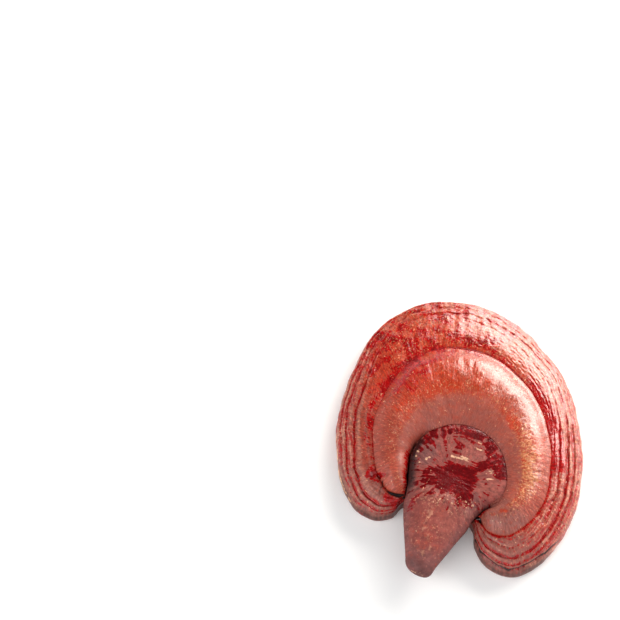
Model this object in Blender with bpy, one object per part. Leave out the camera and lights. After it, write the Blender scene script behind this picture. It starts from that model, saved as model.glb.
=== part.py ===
"""Reishi mushroom, the whole dried fruiting body: a kidney-shaped cap and the stem that grows from its notch.

The frame has +Z up and metres as its unit. X runs across the two lobes, the stem points along -Y, and the
flat pore side of the cap lies on Z = 0. The lists below are in millimetres, measured from the middle of
the stem's head, and the whole body is moved at the end so that its box is centred on X and Y.
"""

import bmesh
import bpy
import numpy as np

MM = 0.001
GAP = 0.3                    # between the stem and the socket that it grows out of, mm

# Plan of the cap. Each row is one growth line, from the left side of the notch round the back to the
# right side: where it leaves the fold round the stem's head, where it crosses the deep groove between
# the inner roll and the brim, and where it ends on the rim. The last three rows close the cap across
# the notch, where it is no more than a web below the stem.
GROWTH_LINES = (
    ((-14.5, -20.0), (-15.0, -21.0), (-15.5, -22.5)),
    ((-15.5, -18.5), (-17.5, -22.5), (-17.5, -29.0)),
    ((-16.0, -16.0), (-21.5, -23.0), (-24.0, -33.5)),
    ((-17.5, -13.0), (-26.0, -20.5), (-33.0, -32.5)),
    ((-18.5, -9.0), (-31.0, -15.5), (-44.5, -23.0)),
    ((-20.0, -4.5), (-35.0, -9.0), (-52.0, -11.0)),
    ((-20.5, 0.5), (-39.5, 0.5), (-58.0, 3.5)),
    ((-19.5, 4.0), (-42.0, 12.5), (-61.0, 21.0)),
    ((-17.4, 8.5), (-41.5, 26.0), (-61.5, 43.5)),
    ((-13.8, 11.7), (-37.5, 39.0), (-55.0, 62.0)),
    ((-9.8, 15.2), (-28.5, 49.5), (-41.0, 75.5)),
    ((-4.8, 17.4), (-15.0, 54.5), (-21.5, 81.5)),
    ((0.2, 18.2), (-1.0, 54.0), (-1.0, 78.5)),
    ((6.2, 17.4), (12.0, 48.5), (15.5, 70.5)),
    ((12.2, 14.7), (22.5, 40.0), (30.0, 58.5)),
    ((16.5, 11.0), (31.0, 28.5), (41.5, 42.0)),
    ((19.7, 6.4), (36.0, 17.0), (49.0, 25.5)),
    ((22.2, 1.5), (39.0, 6.5), (53.0, 8.5)),
    ((23.2, -3.1), (39.5, -4.0), (52.5, -8.5)),
    ((22.8, -7.3), (36.5, -13.5), (48.0, -23.5)),
    ((20.9, -10.2), (31.5, -20.5), (39.5, -33.0)),
    ((18.5, -12.8), (24.5, -22.0), (28.5, -33.0)),
    ((17.5, -14.5), (20.0, -19.5), (20.5, -27.5)),
    ((16.5, -16.0), (17.0, -17.5), (16.5, -20.5)),
    ((9.0, -14.0), (9.0, -14.5), (9.5, -16.0)),
    ((0.0, -13.5), (0.0, -14.0), (0.0, -15.5)),
    ((-8.5, -15.5), (-8.5, -16.0), (-9.0, -17.5)),
)
SECTIONS_PER_LINE = 3        # lofted sections from one growth line to the next
HUB_RADIUS = 5.0             # the sections start on a circle this far from the middle

# Heights of the cap above its flat side, mm
FOLD_HEIGHT = 11.0           # bottom of the fold round the stem's head, and of the cap below it
FOLD_STEP = 0.3              # the roll starts this far above that
LIP_RISE = 6.1               # and this much higher where its lip lies on the head and closes the fold
LIP_LINES = (6.5, 9.0, 18.5, 20.5)   # growth lines where the lip starts, is full, gets less and ends
ROLL_CREST = 20.5            # top of the inner roll
ROLL_FULL_WIDTH = 17.0       # a roll narrower than this is lower, down to the fold's height
GROOVE_HEIGHT = 13.0         # bottom of the deep groove
SHOULDER_RISE = 1.6          # brim just outside the groove, above its bottom
SHOULDER_REACH = 1.2         # how fast the brim comes up out of the groove
BRIM_SWELL = 0.5             # share of the roll's swells that the brim has
RIM_HEIGHT = 7.0             # upper edge of the brim
RIM_FALL = 1.7               # power of the brim's slope: higher keeps it level longer
NOSE_HEIGHT = 3.4            # widest point of the rounded rim
NOSE_DEPTH = 2.8             # how far in the rounding of the rim reaches

# Cross section of the inner roll
CREST_AT = 0.45              # place of the crest, 0 at the fold and 1 at the groove
ROUNDNESS = 2.4              # power of the roll's sides and of the rim's nose: 2 is a circle
INNER_SLOPE = 0.7            # power of the height towards the fold: a lower one is steeper
OUTER_SLOPE = 0.8            # the same towards the groove

# Slow rise and fall of the roll and the brim round the cap: waves in one turn, height in mm, phase
SWELLS = ((3, 0.45, 0.6), (7, 0.25, 2.1), (11, 0.15, 4.0))

# Growth rings on the brim: the growth lines at which they are measured, and for each ring its depth and
# its distance from the rim there, mm. They close up on a brim that is narrower than BRIM_FULL_WIDTH,
# towards the notch.
RING_LINES = (0.0, 2.0, 3.5, 5.3, 7.2, 10.0, 12.0, 13.3, 15.5, 17.8, 21.0, 27.0)
RINGS = (
    (0.5, (10.5, 10.5, 11.0, 12.6, 13.4, 13.0, 12.0, 11.6, 12.0, 9.6, 9.6, 10.5)),
    (1.1, (5.8, 5.3, 6.0, 8.3, 9.9, 9.5, 7.6, 6.6, 7.9, 5.8, 5.8, 5.8)),
    (0.8, (2.9, 2.8, 3.4, 4.6, 4.9, 5.4, 4.6, 4.1, 4.8, 3.5, 3.0, 2.9)),
    (0.5, (1.5, 1.5, 1.7, 2.2, 2.3, 2.6, 2.3, 2.0, 2.4, 1.8, 1.5, 1.5)),
)
RING_WIDTH = 0.7
BRIM_FULL_WIDTH = 13.0

# Where a section of the cap has points: across the roll, across the inner brim as a share of the way
# from the groove to the first ring, between the last ring and the rim in mm from the rim, and below it.
# There are points in each ring and halfway between the rings too.
ROLL_STEPS = (0.0, 0.05, 0.14, 0.27, 0.42, 0.57, 0.72, 0.84, 0.93, 1.0)
BRIM_STEPS = (0.15, 0.4, 0.8)
EDGE_STEPS = (0.8, 0.25, 0.0)
UNDER_STEPS = (0.2, 0.9, 2.8)

# The stem, from the far side of its head to its tip: place along Y, left and right edge, top and
# bottom of the section there, mm, and the power of its outline, a superellipse: 2 is an ellipse and a
# higher one is squarer
STEM_SECTIONS = (
    (20.9, -3.4, 5.6, 15.6, 9.6, 3.0),
    (19.4, -8.8, 11.2, 17.1, 8.2, 3.8),
    (15.8, -13.6, 16.6, 17.9, 6.8, 4.4),
    (9.8, -17.5, 21.0, 18.3, 6.0, 4.8),
    (3.5, -19.6, 24.0, 18.5, 5.4, 5.0),
    (-3.0, -20.2, 25.2, 18.6, 5.0, 5.0),
    (-8.5, -18.8, 23.6, 18.7, 4.6, 4.4),
    (-13.0, -17.2, 18.7, 18.9, 4.3, 3.4),
    (-19.0, -15.2, 15.6, 19.0, 3.9, 2.4),
    (-25.0, -14.0, 15.0, 18.8, 3.7, 2.2),
    (-30.0, -12.0, 13.5, 18.3, 3.8, 2.2),
    (-36.0, -9.0, 12.0, 17.5, 4.2, 2.2),
    (-42.0, -6.0, 10.5, 16.4, 4.8, 2.2),
    (-46.0, -4.0, 9.6, 15.4, 5.6, 2.2),
    (-48.8, -2.6, 9.2, 14.4, 6.4, 2.2),
    (-50.4, -0.6, 8.2, 13.3, 7.4, 2.2),
    (-51.2, 1.6, 6.6, 12.1, 8.8, 2.2),
)
STEM_EDGE = 12.5             # height of the widest line of a section, or its middle if that is lower
STEM_END = 0.5               # the rounded ends reach this far past the first and the last section
STEM_STEPS = 3               # lofted sections from one row to the next
STEM_SIDES = 24

# Colour as linear RGBA, and roughness
CAP_FINISH = ((0.42, 0.055, 0.030, 1.0), 0.30)
STEM_FINISH = ((0.27, 0.055, 0.045, 1.0), 0.35)


def clear_scene():
    for obj in list(bpy.data.objects):
        bpy.data.objects.remove(obj, do_unlink=True)


def spline(rows, steps, closed=False):
    """Catmull-Rom curve through the rows, with a number of steps from one row to the next."""
    rows = np.asarray(rows, float)
    rows = rows.reshape(len(rows), -1)
    if closed:
        padded = np.vstack([rows[-1], rows, rows[:2]])
    else:
        padded = np.vstack([2 * rows[0] - rows[1], rows, 2 * rows[-1] - rows[-2]])
    spans = len(padded) - 3
    t = np.arange(spans * steps + (not closed)) / steps
    i = np.minimum(t.astype(int), spans - 1)
    f = (t - i)[:, None]
    before, start, end, after = (padded[i + k] for k in range(4))
    return 0.5 * (
        2 * start
        + (end - before) * f
        + (2 * before - 5 * start + 4 * end - after) * f**2
        + (3 * start - before - 3 * end + after) * f**3
    )


def smooth(value, low, high):
    """0 below low, 1 above high and a smooth step between. Low may be the higher one."""
    t = np.clip((value - low) / (high - low), 0, 1)
    return t * t * (3 - 2 * t)


def rounded(share):
    """Rounded side of a form: 0 at its foot, where share is 1, and 1 at its top, where share is 0."""
    return 1 - np.clip(share, 0, 1) ** ROUNDNESS


def swell(turn):
    """Height added at a place round the cap, given as a share of one turn."""
    return sum(height * np.sin(2 * np.pi * waves * turn + phase) for waves, height, phase in SWELLS)


def groove_height(roll_width):
    """The groove runs down to the fold's height where the roll ends in the notch."""
    fullness = min(1.0, roll_width / ROLL_FULL_WIDTH)
    return FOLD_HEIGHT + (GROOVE_HEIGHT - FOLD_HEIGHT) * fullness


def roll_height(across, roll_width, line, lift):
    """Height of the inner roll, steep out of the fold and rounder down to the groove."""
    fullness = min(1.0, roll_width / ROLL_FULL_WIDTH)
    crest = FOLD_HEIGHT + (ROLL_CREST + lift - FOLD_HEIGHT) * fullness
    start, full, less, end = LIP_LINES
    lip = smooth(line, start, full) * smooth(line, end, less)
    fold = FOLD_HEIGHT + FOLD_STEP + LIP_RISE * lip
    inner = rounded(1 - across / CREST_AT) ** INNER_SLOPE
    outer = rounded((across - CREST_AT) / (1 - CREST_AT)) ** OUTER_SLOPE
    return np.where(
        across < CREST_AT,
        fold + (crest - fold) * inner,
        groove_height(roll_width) + (crest - groove_height(roll_width)) * outer,
    )


def brim_height(from_groove, from_rim, roll_width, squeeze, lift, places):
    """Height of the brim: a shoulder outside the groove, a slope, growth rings and a rounded nose."""
    share = from_groove / (from_groove + from_rim)
    rise = SHOULDER_RISE + BRIM_SWELL * lift * squeeze
    shoulder = rise * (1 - np.exp(-from_groove / SHOULDER_REACH))
    height = groove_height(roll_width) + shoulder
    height += (RIM_HEIGHT - height) * share**RIM_FALL
    for place, (depth, _) in zip(places, RINGS):
        height -= depth * squeeze * np.exp(-(((from_rim / squeeze - place) / RING_WIDTH) ** 2))
    nose = np.sqrt(rounded(1 - from_rim / (NOSE_DEPTH * squeeze)))
    return NOSE_HEIGHT + (height - NOSE_HEIGHT) * nose


def cap_section(line, hub, fold, groove, rim):
    """Points of one section of the cap, from the hub over the roll and brim to the rim and back below."""
    roll_width = np.linalg.norm(groove - fold)
    brim_width = np.linalg.norm(rim - groove)
    squeeze = min(1.0, brim_width / BRIM_FULL_WIDTH)
    lift = swell(line / len(GROWTH_LINES))

    across = np.array(ROLL_STEPS)
    roll = np.column_stack([
        fold + (groove - fold) * across[:, None],
        roll_height(across, roll_width, line, lift),
    ])
    places = np.array([np.interp(line, RING_LINES, row) for _, row in RINGS])
    between = 0.5 * (places[:-1] + places[1:])
    steps = [*sorted((*places, *between), reverse=True), *EDGE_STEPS]
    edge = brim_width - np.array(steps) * squeeze
    from_groove = np.concatenate([np.array(BRIM_STEPS) * edge[0], edge])
    brim = np.column_stack([
        groove + (rim - groove) * (from_groove / brim_width)[:, None],
        brim_height(from_groove, brim_width - from_groove, roll_width, squeeze, lift, places),
    ])
    inward = np.array(UNDER_STEPS)
    under = np.column_stack([
        rim + (groove - rim) * (inward * squeeze / brim_width)[:, None],
        NOSE_HEIGHT * (1 - np.sqrt(rounded(1 - inward / NOSE_DEPTH))),
    ])
    flat = [[*groove, 0.0], [*fold, 0.0], [*hub, 0.0]]
    return np.vstack([[*hub, FOLD_HEIGHT], [*fold, FOLD_HEIGHT], roll, brim, under, flat])


def add_object(name, bm, collection):
    """Makes the bmesh, in millimetres, into an object in metres."""
    bmesh.ops.scale(bm, vec=(MM, MM, MM), verts=bm.verts)
    bmesh.ops.recalc_face_normals(bm, faces=bm.faces)
    mesh = bpy.data.meshes.new(name)
    bm.to_mesh(mesh)
    bm.free()
    obj = bpy.data.objects.new(name, mesh)
    collection.objects.link(obj)
    return obj


def make_cap(collection):
    """The cap, lofted once round the stem's head through the sections of its growth lines."""
    lines = spline(GROWTH_LINES, SECTIONS_PER_LINE, closed=True).reshape(-1, 3, 2)
    bm = bmesh.new()
    sections = []
    for k, (fold, groove, rim) in enumerate(lines):
        hub = HUB_RADIUS * fold / np.linalg.norm(fold)
        points = cap_section(k / SECTIONS_PER_LINE, hub, fold, groove, rim)
        sections.append([bm.verts.new(point) for point in points])
    top = bm.verts.new((0.0, 0.0, FOLD_HEIGHT))
    base = bm.verts.new((0.0, 0.0, 0.0))
    for first, second in zip(sections, sections[1:] + sections[:1]):
        for i in range(len(first) - 1):
            bm.faces.new((first[i], first[i + 1], second[i + 1], second[i]))
        bm.faces.new((top, first[0], second[0]))
        bm.faces.new((base, second[-1], first[-1]))
    return add_object("cap", bm, collection)


def make_stem(name, collection, grow=0.0):
    """The stem, lofted along its length. A grown copy of it cuts its socket in the cap."""
    turn = np.linspace(0, 2 * np.pi, STEM_SIDES, endpoint=False)
    bm = bmesh.new()
    rings = []
    middles = []
    for y, left, right, top, bottom, power in spline(STEM_SECTIONS, STEM_STEPS):
        outward = np.sign(np.cos(turn)) * np.abs(np.cos(turn)) ** (2 / power)
        upward = np.sign(np.sin(turn)) * np.abs(np.sin(turn)) ** (2 / power)
        middle = 0.5 * (left + right)
        edge = min(STEM_EDGE, 0.5 * (top + bottom))
        x = middle + outward * (0.5 * (right - left) + grow)
        z = edge + upward * np.where(upward > 0, top - edge + grow, edge - bottom + grow)
        rings.append([bm.verts.new((x[k], y, z[k])) for k in range(STEM_SIDES)])
        middles.append((middle, y, edge))
    for first, second in zip(rings, rings[1:]):
        for i in range(STEM_SIDES):
            j = (i + 1) % STEM_SIDES
            bm.faces.new((first[i], first[j], second[j], second[i]))
    for ring, (x, y, z), way in ((rings[0], middles[0], 1), (rings[-1], middles[-1], -1)):
        end = bm.verts.new((x, y + way * (STEM_END + grow), z))
        for i in range(STEM_SIDES):
            bm.faces.new((ring[i], ring[(i + 1) % STEM_SIDES], end))
    return add_object(name, bm, collection)


def cut(obj, cutter):
    """Takes the cutter's shape out of the object with a Boolean that stays on it."""
    cutter.hide_render = True
    cutter.display_type = "WIRE"
    modifier = obj.modifiers.new("socket", "BOOLEAN")
    modifier.operation = "DIFFERENCE"
    modifier.object = cutter


def give_finish(obj, colour, roughness):
    """Gives a piece its own material and smooth shading."""
    material = bpy.data.materials.new(obj.name)
    material.use_nodes = True
    shader = material.node_tree.nodes["Principled BSDF"]
    shader.inputs["Base Color"].default_value = colour
    shader.inputs["Roughness"].default_value = roughness
    shader.inputs["Metallic"].default_value = 0.0
    obj.data.materials.append(material)
    obj.data.shade_smooth()


def box_centre(objects):
    """Middle of the objects' common box in plan, in metres."""
    corners = np.array([vert.co[:2] for obj in objects for vert in obj.data.vertices])
    return 0.5 * (corners.min(axis=0) + corners.max(axis=0))


def main():
    clear_scene()
    parts = bpy.data.collections.new("reishi mushroom")
    cutters = bpy.data.collections.new("cutters")
    bpy.context.scene.collection.children.link(parts)
    bpy.context.scene.collection.children.link(cutters)

    cap = make_cap(parts)
    stem = make_stem("stem", parts)
    socket = make_stem("socket cutter", cutters, grow=GAP)
    x, y = box_centre((cap, stem))
    for obj in (cap, stem, socket):
        obj.location = (-x, -y, 0.0)
    cut(cap, socket)
    give_finish(cap, *CAP_FINISH)
    give_finish(stem, *STEM_FINISH)


if __name__ == "__main__":
    main()
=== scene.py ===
"""Looks of a dried reishi mushroom: its lacquered cap and stem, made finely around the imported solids.

Shapes are worked out in millimetres, in plan from the middle of the stem's head, and are moved to the
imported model's frame at the end. The cap is one loft of growth lines round the stem's head.
"""

from functools import reduce

import bpy
import numpy as np
from bpy.props import FloatProperty, FloatVectorProperty, PointerProperty
from bpy.types import Operator, Panel, PropertyGroup
from mathutils import Matrix, Vector, noise


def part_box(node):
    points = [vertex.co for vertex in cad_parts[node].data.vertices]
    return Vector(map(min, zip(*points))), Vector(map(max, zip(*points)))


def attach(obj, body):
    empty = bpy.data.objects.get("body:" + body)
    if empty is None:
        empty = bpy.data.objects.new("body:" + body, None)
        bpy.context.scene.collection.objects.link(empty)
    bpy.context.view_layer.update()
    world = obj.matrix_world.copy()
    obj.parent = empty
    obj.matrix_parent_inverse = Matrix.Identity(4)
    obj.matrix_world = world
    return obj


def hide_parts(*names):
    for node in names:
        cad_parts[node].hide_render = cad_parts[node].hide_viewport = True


bl_info = {
    "name": "Reishi mushroom",
    "version": (1, 0, 0),
    "blender": (4, 5, 0),
    "location": "View3D > Sidebar > Reishi",
    "description": "Makes a dried reishi mushroom with a lacquered, ringed cap and its stem",
    "category": "Object",
}

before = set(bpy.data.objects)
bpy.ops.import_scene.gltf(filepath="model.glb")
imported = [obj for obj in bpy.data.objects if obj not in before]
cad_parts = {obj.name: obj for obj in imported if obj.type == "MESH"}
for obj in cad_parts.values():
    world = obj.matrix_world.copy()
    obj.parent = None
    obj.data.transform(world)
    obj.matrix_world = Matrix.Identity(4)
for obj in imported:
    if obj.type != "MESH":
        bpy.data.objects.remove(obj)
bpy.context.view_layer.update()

MM = 0.001
GAP = 0.3                    # between the stem and the socket that it grows out of, mm

# Plan of the cap, mm. Each row is one growth line, from the left side of the notch round the back to
# the right side: the fold round the stem's head, the deep groove outside the inner roll, and the rim.
# The last three rows close the cap across the notch, below the stem.
GROWTH_LINES = (
    ((-14.5, -20.0), (-15.0, -21.0), (-15.5, -22.5)),
    ((-15.5, -18.5), (-17.5, -22.5), (-17.5, -29.0)),
    ((-16.0, -16.0), (-21.5, -23.0), (-24.0, -33.5)),
    ((-17.5, -13.0), (-26.0, -20.5), (-33.0, -32.5)),
    ((-18.5, -9.0), (-31.0, -15.5), (-44.5, -23.0)),
    ((-20.0, -4.5), (-35.0, -9.0), (-52.0, -11.0)),
    ((-20.5, 0.5), (-39.5, 0.5), (-58.0, 3.5)),
    ((-19.5, 4.0), (-42.0, 12.5), (-61.0, 21.0)),
    ((-17.4, 8.5), (-41.5, 26.0), (-61.5, 43.5)),
    ((-13.8, 11.7), (-37.5, 39.0), (-55.0, 62.0)),
    ((-9.8, 15.2), (-28.5, 49.5), (-41.0, 75.5)),
    ((-4.8, 17.4), (-15.0, 54.5), (-21.5, 81.5)),
    ((0.2, 18.2), (-1.0, 54.0), (-1.0, 78.5)),
    ((6.2, 17.4), (12.0, 48.5), (15.5, 70.5)),
    ((12.2, 14.7), (22.5, 40.0), (30.0, 58.5)),
    ((16.5, 11.0), (31.0, 28.5), (41.5, 42.0)),
    ((19.7, 6.4), (36.0, 17.0), (49.0, 25.5)),
    ((22.2, 1.5), (39.0, 6.5), (53.0, 8.5)),
    ((23.2, -3.1), (39.5, -4.0), (52.5, -8.5)),
    ((22.8, -7.3), (36.5, -13.5), (48.0, -23.5)),
    ((20.9, -10.2), (31.5, -20.5), (39.5, -33.0)),
    ((18.5, -12.8), (24.5, -22.0), (28.5, -33.0)),
    ((17.5, -14.5), (20.0, -19.5), (20.5, -27.5)),
    ((16.5, -16.0), (17.0, -17.5), (16.5, -20.5)),
    ((9.0, -14.0), (9.0, -14.5), (9.5, -16.0)),
    ((0.0, -13.5), (0.0, -14.0), (0.0, -15.5)),
    ((-8.5, -15.5), (-8.5, -16.0), (-9.0, -17.5)),
)
NOTCH_LINE = 25              # the growth line in the middle of the notch
BACK_LINE = 12               # the growth line at the back, from which places round the cap are counted
HUB_RADIUS = 5.0             # the sections start on a circle this far from the middle

# Heights of the cap above its flat side, mm
FOLD_HEIGHT = 11.0
FOLD_STEP = 0.3              # the roll starts this far above the bottom of the open fold
LIP_LINES = (6.5, 9.0, 18.5, 20.5)   # growth lines where the lip starts, is full, gets less and ends
LIP_REACH = 2.4              # how far below the lip the head's edge is looked for
LIP_THICKNESS = 0.06
LEAST_LIP = 0.02             # where the lip's share is lower, the fold is open
LIP_CLEARANCE = 0.1          # between the head's skin and the lip that has grown over it
ROLL_CREST = 20.5
ROLL_FULL_WIDTH = 17.0       # a roll narrower than this is lower, down to the fold's height
GROOVE_HEIGHT = 13.0
SHOULDER_RISE = 1.6          # brim just outside the groove, above its bottom
SHOULDER_REACH = 1.2         # how fast the brim comes up out of the groove
BRIM_SWELL = 0.5             # share of the roll's swells that the brim has
RIM_HEIGHT = 7.0             # upper edge of the brim
RIM_FALL = 1.7               # power of the brim's slope: higher keeps it level longer
NOSE_HEIGHT = 3.4            # widest point of the rounded rim
NOSE_DEPTH = 2.8             # how far in the rounding of the rim reaches
RIM_DENT = 0.9               # dent in the rim at the back right
CREST_AT = 0.45              # place of the crest across the roll, 0 at the fold and 1 at the groove
ROUNDNESS = 2.4              # power of the roll's sides and of the rim's nose: 2 is a circle
OUTER_SLOPE = 0.8            # how steep the roll's outer side is: 0.5 is the steepest
INNER_SLOPE = 0.7
GROOVE_FILL = 0.9            # crust that rounds off the bottom of the deep groove
SWELLS = ((3, 0.45, 0.6), (7, 0.25, 2.1), (11, 0.15, 4.0))   # waves in one turn, height mm, phase

# Growth rings on the brim: the growth lines at which they are measured, and for each ring its depth
# and its distance from the rim there, mm. The innermost ring fades out on the left.
RING_LINES = (0.0, 2.0, 3.5, 5.3, 7.2, 10.0, 12.0, 13.3, 15.5, 17.8, 21.0, 27.0)
RINGS = (
    (0.5, (10.5, 10.5, 11.0, 12.6, 13.4, 13.0, 12.0, 11.6, 12.0, 9.6, 9.6, 10.5)),
    (1.1, (5.8, 5.3, 6.0, 8.3, 9.9, 9.5, 7.6, 6.6, 7.9, 5.8, 5.8, 5.8)),
    (0.8, (2.9, 2.8, 3.4, 4.6, 4.9, 5.4, 4.6, 4.1, 4.8, 3.5, 3.0, 2.9)),
    (0.5, (1.5, 1.5, 1.7, 2.2, 2.3, 2.6, 2.3, 2.0, 2.4, 1.8, 1.5, 1.5)),
)
RING_WIDTH = 0.7
RINGED_EDGE = 13.4           # the rings lie within this distance of the rim
BRIM_FULL_WIDTH = 13.0       # the rings close up on a brim that is narrower than this

# The stem: place along Y, left and right edge, top and bottom of each section, mm, and the power of
# its outline, a superellipse: 2 is an ellipse and a higher one is squarer
STEM_SECTIONS = (
    (20.9, -3.4, 5.6, 15.6, 9.6, 3.0),
    (19.4, -8.8, 11.2, 17.1, 8.2, 3.8),
    (15.8, -13.6, 16.6, 17.9, 6.8, 4.4),
    (9.8, -17.5, 21.0, 18.3, 6.0, 4.8),
    (3.5, -19.6, 24.0, 18.5, 5.4, 5.0),
    (-3.0, -20.2, 25.2, 18.6, 5.0, 5.0),
    (-8.5, -18.8, 23.6, 18.7, 4.6, 4.4),
    (-13.0, -17.2, 18.7, 18.9, 4.3, 3.4),
    (-19.0, -15.2, 15.6, 19.0, 3.9, 2.4),
    (-25.0, -14.0, 15.0, 18.8, 3.7, 2.2),
    (-30.0, -12.0, 13.5, 18.3, 3.8, 2.2),
    (-36.0, -9.0, 12.0, 17.5, 4.2, 2.2),
    (-42.0, -6.0, 10.5, 16.4, 4.8, 2.2),
    (-46.0, -4.0, 9.6, 15.4, 5.6, 2.2),
    (-48.8, -2.6, 9.2, 14.4, 6.4, 2.2),
    (-50.4, -0.6, 8.2, 13.3, 7.4, 2.2),
    (-51.2, 1.6, 6.6, 12.1, 8.8, 2.2),
)
STEM_EDGE = 12.5             # height of the widest line of a section, or its middle if that is lower
STEM_END = 0.5               # the rounded ends reach this far past the first and the last section

# How fine the meshes are
CAP_COLUMNS = 560
HUB_ROWS = 16
LIP_ROWS = 8
ROLL_ROWS = 52
BRIM_ROWS = 30
EDGE_ROWS = 50
UNDER_ROWS = 7
FLAT_ROWS = 4
STEM_RINGS = 300
STEM_SIDES = 200
LINE_SAMPLES = 60            # for each growth line, to space the columns evenly
STEM_SAMPLES = 600           # along the stem, to space its rings evenly
BED_SAMPLES = 400            # along the stem, where the cap is laid on it

# Low relief and paint of the cap, mm
RIM_WAVES = ((9.0, 0.5, 40.0), (3.5, 0.3, 41.0))   # in the rim: the length, height and seed of each
RING_WANDER = ((14.0, 0.6, 10.0), (4.0, 0.45, 20.0))   # the same in the growth rings
FINE_RING_STEP = 1.5         # from one fine ring between the growth rings to the next
SECOND_GROOVE_AT = 4.2       # from the deep groove to the faint one that runs beside it on the right
PIT_SIZE = (1.5, 0.9)        # of the pits at the back right, along and across the growth lines

# Marks in plan, mm: lines by their points, and round spots by their place and radius
TEAR = ((-33.2, -20.4), (-31.0, -16.2), (-29.6, -18.0), (-26.6, -17.8))
TEAR_FLOOR = ((-32.0, -19.6), (-30.2, -17.8), (-28.0, -18.2))
CRACK = ((-26.1, -19.7), (-25.4, -21.6), (-25.7, -23.6), (-24.9, -25.9))
DARK_LINE = (
    (19.6, -25.6), (23.4, -29.6), (27.9, -31.5), (32.6, -32.6), (37.6, -32.3), (41.4, -29.6),
    (44.4, -25.8), (48.8, -18.6), (52.0, -9.5),
)
PUNCTURES = (
    (34.7, -25.3, 0.5), (43.6, -8.1, 0.5), (43.8, -4.7, 0.5), (43.5, -1.3, 0.5), (43.2, 2.9, 0.5),
    (40.8, -16.6, 0.5),
)
ORANGE_PATCHES = ((26.3, 24.1, 5.0), (29.7, 17.8, 4.0), (14.3, 25.6, 5.0))
RED_PATCHES = (
    (-33.0, 26.4, 6.5), (-30.2, 33.1, 5.0), (-44.8, 40.8, 5.0), (-52.3, 27.4, 4.0), (-40.4, 52.9, 4.5),
    (-47.0, 58.0, 4.0), (-33.0, 62.0, 4.0),
)
# Painted soft highlights on the left of the roll, in pink
PINK_SHEEN_PATCHES = ((-29.9, 2.1, 4.0), (-28.0, -3.3, 3.0))
PALE_CHIP = ((6.7, 48.9, 1.0),)
HEAD_SPECKS = (
    (-17.7, -2.2, 0.7), (-17.3, -4.6, 0.6), (-12.8, -4.4, 0.7), (-11.7, -3.2, 0.7), (-14.8, -6.8, 0.5),
    (-3.3, 1.4, 0.6), (-2.6, 0.4, 0.7),
)
HEAD_RED_ARC = (
    (-17.7, -2.2), (-15.9, 4.0), (-12.7, 9.6), (-7.4, 14.2), (-1.7, 16.0), (3.9, 15.8), (8.0, 14.2),
)
HEAD_RED_SPOTS = ((10.8, 11.4, 3.8), (15.4, 6.8, 4.8), (19.0, 3.0, 4.0), (10.0, 2.2, 3.0))
HEAD_RED_MIDDLE = ((-7.4, -11.0), (0.0, -6.4), (6.4, -5.4), (6.8, -10.4), (8.5, -14.6))
HEAD_RED_TONGUE = ((1.5, -4.6), (0.4, -12.4))
NECK_RED_EDGE = ((-7.8, -17.0), (-10.0, -22.0), (-10.6, -28.0))
NECK_MAUVE = ((12.8, -11.7), (14.6, -14.0), (12.6, -18.5))
HEAD_BLOOM = ((5.0, 1.0), (12.5, 9.0))
HEAD_FIBRE = ((-9.1, -8.2), (-7.9, -11.0), (-8.0, -14.4), (-8.6, -18.8))
HEAD_FIBRE_PATCHES = ((3.2, 8.4, 5.2), (3.6, 2.0, 4.2), (16.2, 0.4, 3.6))
HEAD_FRINGE = ((-5.7, -21.5), (-1.4, -19.8), (3.0, -17.8), (7.5, -17.7), (12.5, -16.4))
HEAD_MIDDLE = (1.6, -7.4)    # the ridges of the stem's head fan out from here
FAN_RADIUS = 10.0            # at which the places round that middle are read from the noises

# The camera, from the middle of the stem's head, mm and degrees
CAMERA_PLACE = (99.7, -363.3, 822.2)
CAMERA_HEADING = 25.0
CAMERA_PITCH = 61.0
# The softboxes: heading and elevation in degrees, distance and size in metres
KEY_SOFTBOX = (76.0, 23.0, 0.7, (0.8, 0.45))
FRONT_SOFTBOX = (-115.0, 38.0, 0.9, (0.9, 0.6))
DARK_SPOT = (115.0, 54.0)    # heading and elevation of the room's dark part, which the head mirrors


def srgb(code):
    """A linear RGBA colour from an sRGB hex value such as "#a0302a"."""
    values = [int(code[i:i + 2], 16) / 255 for i in (1, 3, 5)]
    linear = [v / 12.92 if v <= 0.04045 else ((v + 0.055) / 1.055) ** 2.4 for v in values]
    return (*linear, 1.0)


def spline(rows, t, closed=False):
    """Catmull-Rom curve through the rows, read at the parameters t, where row i is at t = i."""
    rows = np.asarray(rows, float)
    rows = rows.reshape(len(rows), -1)
    if closed:
        padded = np.vstack([rows[-1], rows, rows[:2]])
        t = np.mod(t, len(rows))
    else:
        padded = np.vstack([2 * rows[0] - rows[1], rows, 2 * rows[-1] - rows[-2]])
    i = np.minimum(t.astype(int), len(padded) - 4)
    f = (t - i)[:, None]
    before, start, end, after = (padded[i + k] for k in range(4))
    return 0.5 * (
        2 * start
        + (end - before) * f
        + (2 * before - 5 * start + 4 * end - after) * f**2
        + (3 * start - before - 3 * end + after) * f**3
    )


def smooth(value, low, high):
    """0 below low, 1 above high and a smooth step between. Low may be the higher one."""
    t = np.clip((value - low) / (high - low), 0, 1)
    return t * t * (3 - 2 * t)


def span(value, low, full, less, high):
    """1 from full to less and 0 below low and above high, with smooth steps between them."""
    return smooth(value, low, full) * smooth(value, high, less)


def bell(value, width):
    """1 where the value is 0, falling to both sides like a bell."""
    return np.exp(-((value / width) ** 2))


def most(*masks):
    """The largest of the masks at each point."""
    return reduce(np.maximum, masks)


def rough(x, y, z):
    """Perlin noise of about -0.6 to 0.6 at the places x, y, z, whose unit is one lump.

    Where one of them is a plain number, it only picks one noise out of many.
    """
    x, y, z = np.broadcast_arrays(x, y, z)
    flat = zip(x.ravel().tolist(), y.ravel().tolist(), z.ravel().tolist())
    return np.array([noise.noise(place) for place in flat]).reshape(x.shape)


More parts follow.
